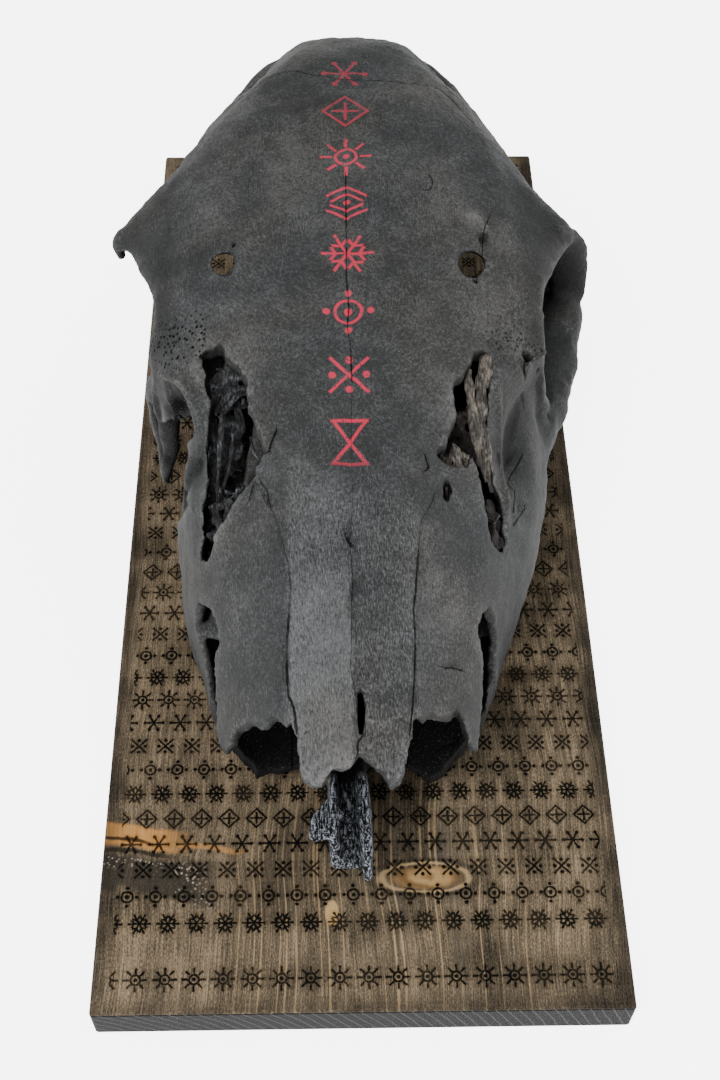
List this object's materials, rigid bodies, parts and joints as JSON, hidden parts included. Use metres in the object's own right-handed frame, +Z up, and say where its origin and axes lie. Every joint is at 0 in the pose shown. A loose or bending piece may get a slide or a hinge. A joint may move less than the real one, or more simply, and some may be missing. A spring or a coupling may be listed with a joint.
{
  "type": "elk skull on board",
  "caption": "Blackened elk skull without antlers or lower jaw, lying on a dark-stained softwood board with burned-in rows of small marks; red painted marks run down the forehead.",
  "frame": {"origin": "middle of the board's underside", "axes": "+Z up, away from the board; the nose points along -Y; +X is to the right in a view of the nose from in front, the side with the whole cheek arch; right and left in names mean this"},
  "size_m": [0.1885, 0.436, 0.1451],
  "materials": {
    "stained_wood": "softwood stained brown, nearly black on the edges, with burned black marks",
    "blackened_bone": null,
    "blackened_enamel": "tooth enamel coloured black, satin"
  },
  "bodies": {
    "root": {"board": "stained_wood", "skull": "blackened_bone", "tooth_right_1": "blackened_enamel", "tooth_right_2": "blackened_enamel", "tooth_right_3": "blackened_enamel", "tooth_right_4": "blackened_enamel", "tooth_right_5": "blackened_enamel", "tooth_right_6": "blackened_enamel", "tooth_left_1": "blackened_enamel", "tooth_left_2": "blackened_enamel", "tooth_left_3": "blackened_enamel", "tooth_left_4": "blackened_enamel", "tooth_left_5": "blackened_enamel", "tooth_left_6": "blackened_enamel"}
  },
  "joints": []
}
